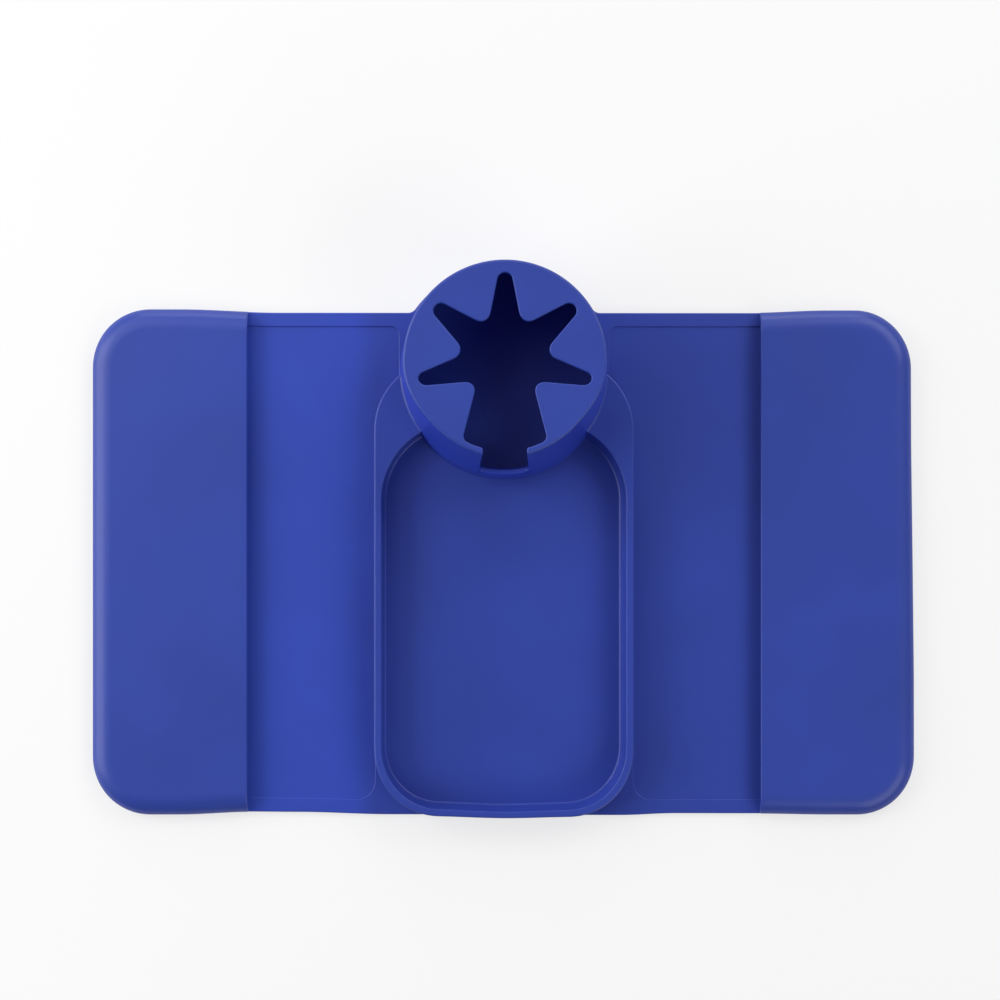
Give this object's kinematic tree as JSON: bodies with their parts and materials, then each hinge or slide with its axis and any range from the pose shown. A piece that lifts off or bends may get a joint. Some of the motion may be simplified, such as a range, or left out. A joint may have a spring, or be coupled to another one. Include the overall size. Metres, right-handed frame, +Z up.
{
  "type": "sofa arm tray",
  "caption": "Flexible silicone sofa arm tray: a rimmed tray with a slotted cup holder in the middle, side panels that drape over the arm and a pocket at each end.",
  "frame": {"origin": "middle of the flat underside, midway between the pocket ends and midway between the front and rear edges of the mat", "axes": "+X to the right pocket, +Y to the cup holder at the rear, +Z up out of the tray"},
  "size_m": [0.52, 0.3485, 0.088],
  "materials": {
    "mat_silicone": "satin royal-blue silicone, moulded smooth",
    "pocket_silicone": "satin royal-blue silicone sheet, bonded on three sides",
    "cup_silicone": "satin royal-blue silicone, moulded smooth",
    "grip_silicone": "soft satin royal-blue silicone with flexible petals"
  },
  "bodies": {
    "tray": {"tray_base": "mat_silicone", "cup_sleeve": "cup_silicone", "grip_ring": "grip_silicone"},
    "left_panel": {"left_panel": "mat_silicone"},
    "left_pocket": {"left_pocket_back": "mat_silicone", "left_pocket_rim": "pocket_silicone", "left_pocket_front": "pocket_silicone"},
    "right_panel": {"right_panel": "mat_silicone"},
    "right_pocket": {"right_pocket_back": "mat_silicone", "right_pocket_rim": "pocket_silicone", "right_pocket_front": "pocket_silicone"},
    "petal_1": {"petal_1": "grip_silicone"},
    "petal_2": {"petal_2": "grip_silicone"},
    "petal_3": {"petal_3": "grip_silicone"},
    "petal_4": {"petal_4": "grip_silicone"},
    "petal_5": {"petal_5": "grip_silicone"},
    "petal_6": {"petal_6": "grip_silicone"}
  },
  "joints": [
    {"name": "left_panel_fold", "type": "hinge", "parent": "tray", "child": "left_panel", "pos_m": [-0.095, 0, 0], "axis": [0, -1, 0], "range_deg": [0, 75]},
    {"name": "left_pocket_fold", "type": "hinge", "parent": "left_panel", "child": "left_pocket", "pos_m": [-0.1535, 0, 0], "axis": [0, -1, 0], "range_deg": [0, 90]},
    {"name": "right_panel_fold", "type": "hinge", "parent": "tray", "child": "right_panel", "pos_m": [0.095, 0, 0], "axis": [0, 1, 0], "range_deg": [0, 75]},
    {"name": "right_pocket_fold", "type": "hinge", "parent": "right_panel", "child": "right_pocket", "pos_m": [0.1535, 0, 0], "axis": [0, 1, 0], "range_deg": [0, 90]},
    {"name": "petal_1_flex", "type": "hinge", "parent": "tray", "child": "petal_1", "pos_m": [-0.01908, 0.15911, 0.0844], "axis": [0.901, 0.4339, 0], "range_deg": [0, 75], "stiffness_Nm_per_rad": 0.006},
    {"name": "petal_2_flex", "type": "hinge", "parent": "tray", "child": "petal_2", "pos_m": [-0.04287, 0.12928, 0.0844], "axis": [0.2225, 0.9749, 0], "range_deg": [0, 75], "stiffness_Nm_per_rad": 0.006},
    {"name": "petal_3_flex", "type": "hinge", "parent": "tray", "child": "petal_3", "pos_m": [-0.03438, 0.09209, 0.0844], "axis": [-0.6235, 0.7818, 0], "range_deg": [0, 75], "stiffness_Nm_per_rad": 0.006},
    {"name": "petal_4_flex", "type": "hinge", "parent": "tray", "child": "petal_4", "pos_m": [0.03438, 0.09209, 0.0844], "axis": [-0.6235, -0.7818, 0], "range_deg": [0, 75], "stiffness_Nm_per_rad": 0.006},
    {"name": "petal_5_flex", "type": "hinge", "parent": "tray", "child": "petal_5", "pos_m": [0.04287, 0.12928, 0.0844], "axis": [0.2225, -0.9749, 0], "range_deg": [0, 75], "stiffness_Nm_per_rad": 0.006},
    {"name": "petal_6_flex", "type": "hinge", "parent": "tray", "child": "petal_6", "pos_m": [0.01908, 0.15911, 0.0844], "axis": [0.901, -0.4339, 0], "range_deg": [0, 75], "stiffness_Nm_per_rad": 0.006}
  ]
}
